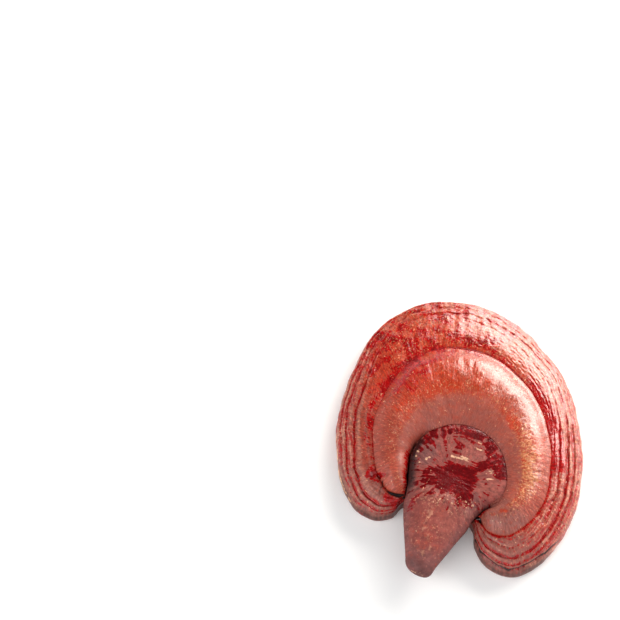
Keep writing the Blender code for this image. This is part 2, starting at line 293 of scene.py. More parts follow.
def waves(along, rows):
    """Sum of noises along a line, each given by its length, its height and its seed."""
    return sum(height * rough(along / length, 0.0, seed) for length, height, seed in rows)


def evenly(t, steps, count):
    """The parameters t at even distances along a line, from the lengths of the steps between them."""
    run = np.concatenate([[0], np.cumsum(steps)])
    return np.interp(np.linspace(0, run[-1], count), run, t)


def rounded(share):
    """Rounded side of a form: 0 at its foot, where share is 1, and 1 at its top, where share is 0."""
    return 1 - np.clip(share, 0, 1) ** ROUNDNESS


def stem_heights(x, y):
    """Heights just below and just above the stem over places in plan. Beside it they are infinite."""
    rows = np.asarray(STEM_SECTIONS)
    fine = spline(rows, np.linspace(0, len(rows) - 1, BED_SAMPLES))[::-1]
    left, right, top, bottom, power = (np.interp(y, fine[:, 0], fine[:, k]) for k in range(1, 6))
    edge = np.minimum(STEM_EDGE, 0.5 * (top + bottom))
    across = np.abs(x - 0.5 * (left + right)) / (0.5 * (right - left) + GAP)
    round_part = (1 - np.clip(across, 0, 1) ** power) ** (1 / power)
    outside = (across > 1) | (y > rows[0, 0] + STEM_END) | (y < rows[-1, 0])
    below = np.where(outside, np.inf, edge - (edge - bottom) * round_part - GAP)
    above = np.where(outside, -np.inf, edge + (top - edge) * round_part + GAP)
    return below, above


def lip_bed(x, y):
    """Height of the lip's underside over places in plan: just clear of the skin of the stem's head."""
    return stem_heights(x, y)[1] - GAP + LIP_CLEARANCE


class CapForm:
    """The cap as a grid of points: one column for each growth line, rows from the hub to the rim."""

    def __init__(self):
        t, self.along = self.even_lines()
        lines = spline(GROWTH_LINES, t, closed=True).reshape(-1, 3, 2)
        self.line = t
        self.fold, self.groove, self.rim = lines[:, 0], lines[:, 1], lines[:, 2]
        self.hub = HUB_RADIUS * self.fold / np.linalg.norm(self.fold, axis=1)[:, None]
        self.roll_width = np.linalg.norm(self.groove - self.fold, axis=1)
        self.brim_width = np.linalg.norm(self.rim - self.groove, axis=1)
        self.outward = (self.rim - self.groove) / self.brim_width[:, None]
        self.squeeze = np.minimum(1, self.brim_width / BRIM_FULL_WIDTH)
        self.fullness = np.minimum(1, self.roll_width / ROLL_FULL_WIDTH)
        # Beside the notch the groove closes to a crease, cut deeper and painted dark as painted shade
        self.crease = most(smooth(t, 3.2, 1.4), smooth(t, 21.6, 22.8))
        turn = 2 * np.pi * t / len(GROWTH_LINES)
        self.lift = sum(height * np.sin(count * turn + phase) for count, height, phase in SWELLS)
        dent = bell(t - 12.75, 0.18) - 0.6 * bell(t - 12.3, 0.2)
        wave = waves(self.along, RIM_WAVES) - RIM_DENT * dent
        self.rim_wave = self.outward * (wave * self.squeeze)[:, None]
        # Towards the back right the rings are faint and the brim is pitted
        self.pitted = span(t, 9.0, 10.5, 14.0, 15.6)
        self.quiet = 1 - 0.65 * self.pitted
        self.groove_height = FOLD_HEIGHT + (GROOVE_HEIGHT - FOLD_HEIGHT) * self.fullness
        self.lip = span(t, *LIP_LINES)
        on_head = lip_bed(self.fold[:, 0], self.fold[:, 1]) + LIP_THICKNESS
        open_fold = FOLD_HEIGHT + FOLD_STEP
        self.fold_height = open_fold + (np.maximum(on_head, open_fold) - open_fold) * self.lip

    @staticmethod
    def even_lines():
        """Line parameters at even steps round the cap, from the notch, and mm round from the back."""
        count = len(GROWTH_LINES)
        t = np.linspace(NOTCH_LINE - count, NOTCH_LINE, count * LINE_SAMPLES + 1)
        lines = spline(GROWTH_LINES, t, closed=True).reshape(-1, 3, 2)
        steps = np.linalg.norm(np.diff(lines, axis=0), axis=2)
        # The rim and the groove count for more than the fold, where the columns crowd anyway
        chosen = evenly(t, steps @ (0.2, 0.4, 0.4), CAP_COLUMNS + 1)[:-1]
        round_groove = np.concatenate([[0], np.cumsum(steps[:, 1])])
        return chosen, np.interp(chosen, t, round_groove) - np.interp(BACK_LINE, t, round_groove)

    def places(self):
        """Where each point lies: x, y, its growth line, mm along from the back, mm past the groove,
        mm out from the fold, squeezed mm in from the rim, and the share of the roll that is crossed."""
        x, y = self.plan[:, :, 0], self.plan[:, :, 1]
        across = self.out / self.roll_width
        return x, y, self.line, self.along, self.past, self.out, self.ring_at, across

    def rings(self):
        """Distance from the rim, in squeezed mm, and depth of each growth ring at each line."""
        right = smooth(self.line, 11.0, 12.5)
        rings = [(np.interp(self.line, RING_LINES, places), depth) for depth, places in RINGS]
        return [(rings[0][0], rings[0][1] * right), *rings[1:]]

    def pleats(self):
        """Round ridges of the brim, 0 in the rings and 1 between them."""
        places = [0.0, *(place for place, _ in self.rings()[::-1]), RINGED_EDGE + 3]
        steps = sum(
            np.clip((self.ring_at - near) / (far - near), 0, 1)
            for near, far in zip(places, places[1:]))
        return np.abs(np.sin(np.pi * steps))

    def roll(self):
        """Rows of the inner roll: plan, height and mm from the groove, which are below 0 here."""
        across = np.linspace(0, 1, ROLL_ROWS + 1)[:, None]
        across = across - 0.06 * np.sin(2 * np.pi * across)   # closer together at both ends
        crest = FOLD_HEIGHT + (ROLL_CREST + self.lift - FOLD_HEIGHT) * self.fullness
        fold = self.fold_height
        inner = rounded(1 - across / CREST_AT) ** (INNER_SLOPE + 0.3 * self.lip)
        outer = rounded((across - CREST_AT) / (1 - CREST_AT)) ** OUTER_SLOPE
        height = np.where(
            across < CREST_AT,
            fold + (crest - fold) * inner,
            self.groove_height + (crest - self.groove_height) * outer,
        )
        plan = self.fold + (self.groove - self.fold) * across[:, :, None]
        lying = lip_bed(plan[:, :, 0], plan[:, :, 1]) + LIP_THICKNESS
        height = np.where(self.lip > LEAST_LIP, np.maximum(height, lying), height)
        return plan, height, (across - 1) * self.roll_width

    def below_lip(self):
        """Rows from the edge of the stem's head in below the lip of the roll, to the fold."""
        share = np.linspace(1, 0, LIP_ROWS + 1)[:-1, None]
        reach = LIP_REACH * np.maximum(self.lip, LEAST_LIP) * share
        run = (self.groove - self.fold) / self.roll_width[:, None]
        plan = self.fold + run * reach[:, :, None]
        above = lip_bed(plan[:, :, 0], plan[:, :, 1])
        height = np.maximum(above, FOLD_HEIGHT + 0.05 * (1 - share))
        return plan, height, -self.roll_width - 0.5 * share

    def brim(self, wander):
        """Rows of the brim outside the groove: plan, height and mm from the groove."""
        inner = (np.linspace(0, 1, BRIM_ROWS + 1)[1:-1, None]) ** 1.3
        ringed = np.minimum(RINGED_EDGE, 0.9 * self.brim_width / self.squeeze)
        edge = self.squeeze * ringed * np.linspace(1, 0, EDGE_ROWS + 1)[:, None] ** 1.4
        from_groove = np.vstack([inner * (self.brim_width - edge[0]), self.brim_width - edge])
        from_rim = self.brim_width - from_groove
        rise = SHOULDER_RISE + BRIM_SWELL * self.lift * self.squeeze
        height = self.groove_height + rise * (1 - np.exp(-from_groove / SHOULDER_REACH))
        height += (RIM_HEIGHT - height) * (from_groove / self.brim_width) ** RIM_FALL
        for place, depth in self.rings():
            ring = from_rim / self.squeeze - place - wander
            lumpy = (3.4 - 2.8 * self.quiet) * rough(self.along / 2.2, place, 17.0)
            broken = np.clip(0.25 + 0.65 * self.quiet + lumpy, 0, 1.3)
            height -= 0.55 * depth * broken * self.quiet * self.squeeze * bell(ring, RING_WIDTH)
        height = NOSE_HEIGHT + (height - NOSE_HEIGHT) * np.sqrt(
            rounded(1 - from_rim / (NOSE_DEPTH * self.squeeze))
        )
        plan = self.groove + self.outward * from_groove[:, :, None]
        plan = plan + self.rim_wave * smooth(from_rim, 5.0, 0.0)[:, :, None]
        return plan, height, from_groove

    def under(self):
        """Rows below the rim, round its nose and in over the flat side to the hub."""
        share = np.linspace(0, 1, UNDER_ROWS + 1)[1:, None] ** 1.6
        inward = share * NOSE_DEPTH * self.squeeze
        nose = self.rim + self.rim_wave - self.outward * inward[:, :, None]
        height = NOSE_HEIGHT * (1 - np.sqrt(rounded(1 - share))) * np.ones_like(inward)
        inner = np.linspace(0, 1, FLAT_ROWS + 1)[1:, None, None]
        flat = [
            nose[-1] + (self.groove - nose[-1]) * inner,
            self.groove + (self.fold - self.groove) * inner,
            self.fold + (self.hub - self.fold) * inner,
        ]
        plan = np.concatenate([nose, *flat])
        return plan, np.vstack([height, np.zeros((3 * FLAT_ROWS, CAP_COLUMNS))])


def grid_normals(points):
    """Unit normals that face out of the form, for a grid whose columns close on themselves."""
    across = np.roll(points, -1, axis=1) - np.roll(points, 1, axis=1)
    normals = np.cross(across, np.gradient(points, axis=0))
    return normals / np.maximum(np.linalg.norm(normals, axis=2, keepdims=True), 1e-9)


def grid_faces(rows, columns):
    """Quads of a grid whose columns close on themselves."""
    i = np.arange(rows - 1)[:, None] * columns
    j = np.arange(columns)[None, :]
    k = (j + 1) % columns
    return np.stack([i + j, i + k, i + columns + k, i + columns + j], axis=-1).reshape(-1, 4)


def make_mesh(name, points, start, end, attributes, middle):
    """An object from a grid whose columns close, shut by a point at the start and one at the end."""
    rows, columns = points.shape[:2]
    count = rows * columns
    places = np.vstack([points.reshape(-1, 3), start, end]) * MM + np.array(middle)
    j = np.arange(columns)
    k = (j + 1) % columns
    last = (rows - 1) * columns
    first_fan = np.stack([np.full(columns, count), k, j], axis=-1)
    last_fan = np.stack([last + j, last + k, np.full(columns, count + 1)], axis=-1)
    faces = [*grid_faces(rows, columns).tolist(), *first_fan.tolist(), *last_fan.tolist()]
    mesh = bpy.data.meshes.new(name)
    mesh.from_pydata(places.tolist(), [], faces)
    for label, values in attributes.items():
        data = np.vstack([values.reshape(-1, 3), values[0].mean(axis=0), values[-1].mean(axis=0)])
        layer = mesh.attributes.new(label, "FLOAT_VECTOR", "POINT")
        layer.data.foreach_set("vector", data.astype(np.float32).ravel())
    mesh.shade_smooth()
    mesh.validate()
    obj = bpy.data.objects.new(name, mesh)
    bpy.context.scene.collection.objects.link(obj)
    return obj


def direction(heading, elevation):
    """Unit vector towards a heading and an elevation, in degrees."""
    heading, elevation = np.radians(heading), np.radians(elevation)
    level = np.cos(elevation)
    return Vector((np.cos(heading) * level, np.sin(heading) * level, np.sin(elevation)))


def head_middle():
    """Where the middle of the stem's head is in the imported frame, in metres."""
    rim_right = CapForm().rim[:, 0].max()
    tip = STEM_SECTIONS[-1][0] - STEM_END
    return Vector((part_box("cap")[1].x - rim_right * MM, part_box("stem")[0].y - tip * MM, 0.0))


def stroke(plan, points, width):
    """1 on a line through the points in plan, and less beside it."""
    nearest = np.full(plan.shape[:-1], np.inf)
    for start, end in zip(np.array(points[:-1]), np.array(points[1:])):
        run = end - start
        share = np.clip(((plan - start) @ run) / (run @ run), 0, 1)
        nearest = np.minimum(nearest, np.linalg.norm(plan - start - share[..., None] * run, axis=-1))
    return bell(nearest, width)


def spots(plan, rows):
    """1 in the middle of each round spot, given by its place in plan and its radius."""
    return most(*(bell(np.linalg.norm(plan - (x, y), axis=-1), radius) for x, y, radius in rows))


def feed(tree, node, inputs):
    """Gives a node's inputs their values, or links them to the outputs of other nodes."""
    for key, value in inputs.items():
        if isinstance(value, bpy.types.NodeSocket):
            tree.links.new(value, node.inputs[key])
        else:
            node.inputs[key].default_value = value


def add(tree, kind, inputs, output=0, **settings):
    """Adds a node with its settings, feeds its inputs and returns one of its outputs."""
    node = tree.nodes.new(f"ShaderNode{kind}")
    for key, value in settings.items():
        setattr(node, key, value)
    feed(tree, node, inputs)
    return node.outputs[output]


def new_material(name):
    """A material, its node tree and its shader."""
    material = bpy.data.materials.new(name)
    material.use_nodes = True
    return material, material.node_tree, material.node_tree.nodes["Principled BSDF"]


def ragged(tree, mask, noise_output, reach, low, high):
    """A mask whose edge is broken up by a noise: 0 where the sum is below low and 1 above high."""
    shift = add(tree, "Math", {0: noise_output, 1: reach, 2: -0.5 * reach},
                operation="MULTIPLY_ADD")
    total = add(tree, "Math", {0: mask, 1: shift}, operation="ADD")
    return add(tree, "MapRange", {"Value": total, "From Min": low, "From Max": high},
               interpolation_type="SMOOTHSTEP")


def cover(tree, colour, mask, strength, code):
    """A colour with another laid over it through a mask and with a strength."""
    share = add(tree, "Math", {0: mask, 1: strength}, operation="MULTIPLY")
    return add(tree, "Mix", {0: share, 6: colour, 7: srgb(code)}, 2, data_type="RGBA")


def crust_material(name, colours, dullness, coat, ringed):
    """Laccate crust of a reishi, a hard skin like shellac over cork: glossy, under a dull bloom.

    On the cap, growth holds mm round it, mm in from the rim and mm out from the fold, and on the stem
    two that run round the head's middle and mm out from there. The tint attribute holds how far the
    skin is crimson, orange and dark, the dark being mostly painted shade; the wear attribute how far it
    is speckled, bloomed and pale, the bloom being partly a painted sheen and highlight; cast how far it
    is mauve, tan and smooth, some of it painted shade and highlight; and bands how far it is striped
    along the rings, matt and flecked with gold.
    """
    material, tree, shader = new_material(name)
    growth, *layers = (
        add(tree, "Attribute", {}, "Vector", attribute_name=label)
        for label in ("growth", "tint_and_shade", "wear_and_sheen", "cast", "bands"))
    (crimson, orange, dark_and_shade), (speckle, bloom_and_sheen, pale), (mauve, tan, calm), (striped, matt, flecked) = (
        [add(tree, "SeparateXYZ", {0: layer}, k) for k in range(3)] for layer in layers)
    place = add(tree, "TexCoord", {}, "Object")
    in_mm = add(tree, "Mapping", {"Vector": place, "Scale": (1 / MM, 1 / MM, 1 / MM)})
    # Fibres run out from the fold, three times as long as they are wide
    drawn_out = add(tree, "Mapping", {
        "Vector": growth, "Scale": (1.0, 0.0 if ringed else 1.0, 0.33)})
    # Stripes run along the rings, 7 mm long and about 1 mm apart
    drawn_round = add(tree, "Mapping", {"Vector": growth, "Scale": (1 / 7, 1 / 0.95, 0.0)})

    # Each noise: where it is read, the size of its lumps in mm, detail, roughness and distortion
    fibres, clouds, blotches, mottle, stripes, specks, grain = (
        add(tree, "TexNoise", {
            "Vector": where, "Scale": 1 / size, "Detail": detail, "Roughness": roughness,
            "Distortion": distortion})
        for where, size, detail, roughness, distortion in (
            (drawn_out, 0.9, 3.0, 0.6, 0.4),
            (in_mm, 8.0, 3.0, 0.5, 0.0),
            (in_mm, 2.6, 5.0, 0.65, 0.0),
            (in_mm, 1.2, 3.0, 0.6, 0.0),
            (drawn_round, 1.0, 3.0, 0.6, 0.0),
            (in_mm, 0.8, 2.0, 0.6, 0.0),
            (drawn_out, 0.7, 3.0, 0.7, 0.0),
        ))
    both = add(tree, "Math", {0: fibres, 1: mottle}, operation="ADD")
    edge = add(tree, "Math", {0: both, 1: 0.5}, operation="MULTIPLY")
    dashes = add(tree, "Mix", {0: 0.35, 2: stripes, 3: mottle}, data_type="FLOAT")
    lively = add(tree, "Math", {0: calm, 1: -0.75, 2: 1.0}, operation="MULTIPLY_ADD")
    worn = add(tree, "Math", {0: lively, 1: 0.6}, operation="MULTIPLY")

    # Each coat of paint, from the lowest up: its mask, the noise that breaks the mask's edge up and how
    # far, where it starts and where it is full, its strength and its colour
    colour = srgb(colours["skin"])
    for mask, breaker, reach, low, high, strength, label in (
        (clouds, mottle, 0.5, 0.36, 0.66, 0.8, "skin_light"),
        (mauve, blotches, 1.2, 0.15, 0.85, 0.8, "mauve"),
        (fibres, blotches, 0.8, 0.44, 0.70, worn, "fibre"),
        (orange, blotches, 2.0, 0.30, 0.90, 0.9, "orange"),
        # the bloom is partly a painted sheen and highlight
        (bloom_and_sheen, fibres, 2.8, 0.62, 0.95, 0.45, "bloom_and_sheen"),
        (tan, edge, 4.0, 0.55, 0.95, 0.7, "tan"),
        (striped, dashes, 7.0, 0.90, 1.40, 0.75, "bloom_and_sheen"),
        (striped, dashes, -7.0, 0.95, 1.40, 0.85, "crimson"),
        (crimson, edge, 2.8, 0.42, 0.70, 0.95, "crimson"),
        (crimson, blotches, 3.0, 0.75, 1.40, 0.6, "deep"),
        (flecked, specks, 4.0, 0.70, 1.05, 0.6, "gold"),
        (speckle, mottle, 4.6, 1.00, 1.16, 0.75, "flake"),
        # the dark is mostly painted shade
        (dark_and_shade, edge, 0.5, 0.35, 0.80, 1.0, "dark_and_shade"),
        (pale, mottle, 1.6, 0.45, 0.65, 0.9, "flake"),
    ):
        share = ragged(tree, mask, breaker, reach, low, high)
        colour = cover(tree, colour, share, strength, colours[label])
    # Fine light and dark, about 0.7 mm
    uneven = add(tree, "Math", {0: grain, 1: 0.5}, operation="SUBTRACT")
    contrast = add(tree, "Math", {0: lively, 1: 2.8}, operation="MULTIPLY")
    shade = add(tree, "Math", {0: uneven, 1: contrast, 2: 1.0}, operation="MULTIPLY_ADD")
    colour = add(tree, "VectorMath", {0: colour, "Scale": shade}, operation="SCALE")

    # The bloom is dull, and the bare varnish of the crimson patches is smooth
    crimson_skin = ragged(tree, crimson, edge, 2.8, 0.42, 0.70)
    uneven_gloss = add(tree, "MapRange", {
        "Value": blotches, "From Min": 0.35, "From Max": 0.68,
        "To Min": dullness - 0.08, "To Max": dullness + 0.08})
    dull = add(tree, "Math", {0: matt, 1: 0.25, 2: uneven_gloss}, operation="MULTIPLY_ADD")
    gloss = add(tree, "Mix", {0: crimson_skin, 2: dull, 3: 0.26}, data_type="FLOAT")
    varnish = add(tree, "Math", {0: matt, 1: -0.85 * coat, 2: coat}, operation="MULTIPLY_ADD")
    rough_skin = add(tree, "Math", {0: mottle, 1: 0.5, 2: blotches}, operation="MULTIPLY_ADD")
    height = add(tree, "Math", {0: fibres, 1: 0.7, 2: rough_skin}, operation="MULTIPLY_ADD")
    depth = add(tree, "Math", {0: lively, 1: 0.8}, operation="MULTIPLY")
    bump = add(tree, "Bump", {"Strength": depth, "Distance": 0.22 * MM, "Height": height})
    feed(tree, shader, {
        "Base Color": colour, "Roughness": gloss, "IOR": 1.5, "Normal": bump,
        "Coat Weight": varnish, "Coat Roughness": 0.13, "Coat Normal": bump})
    return material


def pore_material(pore_colour):
    """Pore layer of a dried reishi: dull pale brown felt, pricked with pores about 0.2 mm wide.

    The pores are drawn 0.5 mm apart, a little coarser than real ones, so that they show.
    """
    material, tree, shader = new_material("reishi pore layer")
    place = add(tree, "TexCoord", {}, "Object")
    in_mm = add(tree, "Mapping", {"Vector": place, "Scale": (1 / MM, 1 / MM, 1 / MM)})
    stains = add(tree, "TexNoise", {
        "Vector": in_mm, "Scale": 1 / 16.0, "Detail": 5.0, "Roughness": 0.6})
    pores = add(tree, "TexVoronoi", {"Vector": in_mm, "Scale": 1 / 0.5, "Randomness": 0.7})
    holes = add(tree, "MapRange", {"Value": pores, "From Min": 0.34, "From Max": 0.18})
    stained = add(tree, "MapRange", {"Value": stains, "From Min": 0.38, "From Max": 0.66})
    colour = cover(tree, pore_colour, stained, 0.8, "#8f6a49")
    colour = cover(tree, colour, holes, 0.65, "#5c3d28")
    bump = add(tree, "Bump", {"Strength": 0.6, "Distance": -0.3 * MM, "Height": holes})
    feed(tree, shader, {"Base Color": colour, "Roughness": 0.85, "Normal": bump})
    return material


def paper_material():
    """Matt white background paper, a coated card without gloss, with a faint mottle."""
    material, tree, shader = new_material("matt white paper")
    place = add(tree, "TexCoord", {}, "Object")
    mottle = add(tree, "TexNoise", {"Vector": place, "Scale": 9.0, "Detail": 2.0})
    colour = cover(tree, srgb("#f6f6f6"), mottle, 1.0, "#fafafa")
    feed(tree, shader, {"Base Color": colour, "Roughness": 0.9, "IOR": 1.3})
    return material


class ReishiCapSettings(PropertyGroup):
    lump_height: FloatProperty(
        name="Lumps", description="Height in mm of the soft lumps of the cap",
        default=0.45, min=0.0, max=1.0)
    wrinkle_height: FloatProperty(
        name="Wrinkles", description="Height in mm of the wrinkles that run out from the fold",
        default=0.16, min=0.0, max=0.5)
    pleat_height: FloatProperty(
        name="Pleats", description="Height in mm of the ridges between the growth rings",
        default=0.35, min=0.0, max=1.0)
    groove_cut: FloatProperty(
        name="Groove", description="Depth in mm that the sharp bottom of the deep groove adds",
        default=0.35, min=0.0, max=2.0)
    pore_colour: FloatVectorProperty(
        name="Pore layer", description="Colour of the pore layer below the cap",
        subtype="COLOR", size=4, default=srgb("#b89468"), min=0.0, max=1.0)


class ReishiStemSettings(PropertyGroup):
    wrinkle_height: FloatProperty(
        name="Wrinkles", description="Height in mm of the wrinkles along the stem",
        default=0.13, min=0.0, max=0.6)
    dimple_depth: FloatProperty(
        name="Dimple", description="Depth in mm of the dimple on the head",
        default=0.5, min=0.0, max=2.0)


class ReishiStageSettings(PropertyGroup):
    lens: FloatProperty(
        name="Lens", description="Focal length of the camera in mm", unit="CAMERA",
        default=120.0, min=20.0, max=300.0)
    key_power: FloatProperty(
        name="Key light", description="Power of the softbox behind the cap", unit="POWER",
        default=9.0, min=0.0)
    front_power: FloatProperty(
        name="Front light", description="Power of the softbox in front of the stem", unit="POWER",
        default=3.7, min=0.0)
    room_light: FloatProperty(
        name="Room", description="Brightness of the white room around the mushroom",
        default=0.84, min=0.0)


# The dark colours are mostly painted shade, and the bloom colours partly a painted sheen and highlight
CAP_COLOURS = {
    "skin": "#983f2c", "skin_light": "#a94d3b", "fibre": "#7e2618", "orange": "#a83007",
    "crimson": "#a00a0f", "deep": "#6c0409", "dark_and_shade": "#2a1410", "mauve": "#8f5b52", "tan": "#bb7a4e",
    "bloom_and_sheen": "#b97d6a", "flake": "#dcab86", "gold": "#c98e68",
}
STEM_COLOURS = {
    "skin": "#89433c", "skin_light": "#955046", "fibre": "#742e28", "orange": "#a64d3e",
    "crimson": "#820912", "deep": "#46020a", "dark_and_shade": "#2a1a1a", "mauve": "#7a4b49", "tan": "#b47c66",
    "bloom_and_sheen": "#9c695f", "flake": "#d2a688", "gold": "#bd8468",
}


def cap_relief(settings, form):
    """Height in mm that the fine form adds along the surface's normal."""
    x, y, line, along, past, out, ring_at, across = form.places()
    back = span(line, 7.5, 9.0, 12.0, 13.5)
    lumps = rough(x / 13, y / 13, 1.0) + 0.45 * rough(x / 4.5, y / 4.5, 2.0)
    wrinkles = rough(along / 1.7, 0.0, out / 11) + 0.6 * rough(along / 3.1, 4.0, out / 16)
    strength = 0.25 + 0.6 * smooth(rough(x / 12, y / 12, 5.0), -0.1, 0.3) + 0.45 * back
    strength = strength * (0.35 + 0.65 * smooth(across, 0.4, 0.8))
    relief = settings.lump_height * lumps + settings.wrinkle_height * strength * wrinkles
    relief += 0.10 * rough(x / 1.4, y / 1.4, 12.0)

    # The brim is pleated: round ridges between the grooves of the growth rings
    pleat_height = settings.pleat_height * (0.3 + 0.7 * form.quiet) * smooth(ring_at, 14.0, 11.0)
    relief += pleat_height * (form.pleats() - 0.6)
    fine_at = ring_at + 0.5 * rough(along / 9, ring_at / 9, 6.0)
    broken = smooth(rough(along / 5, ring_at / 2.5, 7.0), -0.25, 0.2) * (0.2 + 0.8 * form.quiet)
    fine_rings = np.sin(2 * np.pi * fine_at / FINE_RING_STEP) * broken * smooth(past, 0.5, 3.0)
    relief += 0.10 * fine_rings * form.squeeze
    for place, depth in form.rings():
        fine_cut = np.clip(0.5 + 1.2 * rough(along / 4, place, 16.0), 0, 1)
        relief -= 0.25 * depth * form.quiet * fine_cut * bell(ring_at - place, 0.35)
    pits = rough(along / PIT_SIZE[0], past / PIT_SIZE[1], 18.0)
    relief += 0.14 * form.pitted * smooth(past, 1.0, 2.5) * pits

    # The deep groove, and the second one that runs beside it on the right
    sharp = 0.8 + 0.5 * rough(along / 6, 0.0, 8.0)
    relief += GROOVE_FILL * form.fullness * bell(past, 1.3)
    relief -= settings.groove_cut * sharp * form.fullness * bell(past, 0.35)
    second = span(line, 12.3, 13.2, 15.6, 16.5) * form.squeeze
    second_at = past - SECOND_GROOVE_AT - 0.6 * rough(along / 12, 0.0, 9.0)
    relief -= 0.12 * second * bell(second_at, 0.6)

    relief -= 0.7 * stroke(form.plan, TEAR_FLOOR, 1.0) + 0.4 * stroke(form.plan, CRACK, 0.4)
    relief -= 1.2 * form.crease * bell(past, 0.7)
    relief -= 0.45 * stroke(form.plan, DARK_LINE, 0.4) + 0.5 * spots(form.plan, PUNCTURES)
    fade = smooth(form.from_rim / form.squeeze, 0.0, 1.5)
    return relief * (0.4 + 0.6 * fade) * smooth(out, -1.0, 2.0)


def cap_tint_and_shade(form):
    """How far the skin is crimson, orange and dark at each point; most of the dark is painted shade."""
    x, y, line, along, past, out, ring_at, across = form.places()
    plan = form.plan
    patches = rough(x / 7, y / 7, 31.0) + 0.6 * rough(x / 3, y / 3, 32.0)
    back_left = span(line, 6.5, 8.0, 11.5, 13.0)
    lobes = smooth(y, -6.0, -24.0)

    # Outside the groove: a broad band on the right and a mottled one at the back left
    width = 5.0 + 1.6 * smooth(line, 13.5, 15.0)
    band = span(line, 12.4, 13.4, 16.0, 16.6) * smooth(past, width + 1.2, width)
    beside = span(line, 6.9, 7.5, 9.5, 11.0) * span(past, -1.4, -0.2, 2.5, 5.5)
    shoulder = span(line, 6.8, 7.8, 9.8, 10.8) * bell(past + 5.0, 4.0)
    in_rings = []
    for place, depth in form.rings():
        strong = (0.45 + 0.45 * depth) * smooth(depth, 0.0, 0.4) * (1 - 0.4 * back_left)
        uneven = 1.1 * (1.3 - form.quiet) * rough(along / 2.5, place, 33.0)
        strong = strong * (0.55 + 0.35 * form.quiet + uneven)
        in_rings.append(strong * bell(ring_at - place, 0.45 + 0.25 * depth))
    crimson = most(
        0.10 + 0.22 * patches,
        0.85 * bell(past - 0.3, 0.9) * form.fullness,
        0.85 * band * smooth(past, -0.4, 0.2),
        0.7 * bell(past - 0.9, 0.9) * smooth(line, 15.5, 16.0),
        (0.62 + 0.7 * patches) * bell(past - 3.0, 2.8) * smooth(line, 8.5, 6.5),
        (0.85 + 0.6 * patches) * beside,
        (0.62 + 1.3 * patches) * back_left * smooth(past, -7.0, -1.0),
        (0.75 + 0.8 * patches) * spots(plan, RED_PATCHES),
        (0.75 + 0.9 * patches) * shoulder,
        *in_rings,
        0.72 * bell(out - 1.2, 2.0) * smooth(line, 6.2, 5.0),
        0.85 * bell(out - 1.0, 1.6) * smooth(line, 20.4, 21.2),
        1.3 * stroke(plan, TEAR, 0.9),
        1.3 * stroke(plan, TEAR_FLOOR, 1.2),
        0.9 * spots(plan, PUNCTURES),
    )
    crimson = crimson * smooth(out, -0.5, 0.6) * smooth(ring_at, 0.2, 0.9)

    crest = bell(across - 0.38, 0.2) * smooth(out, 2.0, 6.0) * smooth(past, 0.0, -2.0)
    orange = most(
        1.35 * bell(np.hypot(x + 34.0, y - 44.0), 33.0),
        1.35 * 0.75 * bell(np.hypot(x - 2.0, y - 68.0), 22.0),
        0.55 * crest * smooth(line, 4.5, 7.5),
        0.35 * bell(across - 0.75, 0.3) * smooth(line, 14.0, 15.5),
        1.1 * spots(plan, ORANGE_PATCHES),
    )
    orange = orange * (1 + 0.6 * patches) * smooth(across, 0.22, 0.4)

    faint = smooth(line, 17.2, 18.6) * (0.95 + 0.4 * rough(along / 2.5, 0.0, 43.0))
    # Real dark marks are the dark line and the crack. The nose of the rim on the lobes and the roll
    # beside the notch on the right are darker. The rest is painted shade: a thin painted shadow line
    # along the rim, and painted shade in the creases and folds beside the notch, in the open fold below
    # the roll and at the bottom of the groove on the lobes.
    dark_and_shade = most(
        0.5 * smooth(ring_at, 2.2, 1.4) * lobes + 0.12 * smooth(ring_at, 1.0, 0.2),
        0.40 * smooth(line, 17.5, 19.0) * smooth(past, 0.0, -2.0),
        0.95 * faint * stroke(plan, DARK_LINE, 0.30),
        0.8 * stroke(plan, CRACK, 0.35),
        form.crease * bell(past, 0.55),
        most(smooth(line, 5.0, 3.0), smooth(line, 20.6, 22.0)) * bell(out, 0.7),
        0.3 * smooth(out, 0.0, -0.4) * (1 - form.lip),
        0.6 * bell(past, 0.25) * lobes,
    )
    return np.dstack([crimson, orange, dark_and_shade])


def cap_wear_and_sheen(form):
    """How far the skin is speckled, bloomed and pale at each point; part of the bloom is a painted
    highlight.
    """
    _, _, line, along, past, _, ring_at, across = form.places()
    back = span(line, 9.5, 11.5, 15.5, 18.0)
    left = span(line, 2.0, 3.5, 7.4, 8.6)
    outer_roll = smooth(across, 0.3, 0.5) * smooth(past, -0.3, -1.5)
    brim = smooth(past, 0.0, 1.0)
    ridge = brim * form.pleats() ** 2

    speckle = 0.12 + 0.15 * brim + (0.22 - 0.08 * smooth(line, 13.5, 15.0)) * outer_roll
    # More bloom is painted at the back right, where the varnish shines, and on the ridge tops of the
    # brim: a painted highlight
    bloom_and_sheen = 0.25 + back * (0.4 * brim + 0.3 * outer_roll)
    bloom_and_sheen += 0.3 * ridge * (1 - back) * smooth(ring_at, 14.0, 12.0) + 0.42 * left * ridge
    rim_line = span(line, 2.0, 4.0, 6.0, 12.0) * smooth(form.from_rim, 0.6, 0.2)
    rim_line = rim_line * (0.62 + 0.5 * rough(along / 2.5, form.from_rim, 44.0))
    # The pink patches on the left of the roll are a painted soft highlight
    bloom_and_sheen = most(bloom_and_sheen, 0.75 * spots(form.plan, PINK_SHEEN_PATCHES))
    pale = most(rim_line, 0.9 * spots(form.plan, PALE_CHIP))
    return np.dstack([speckle, bloom_and_sheen, pale])


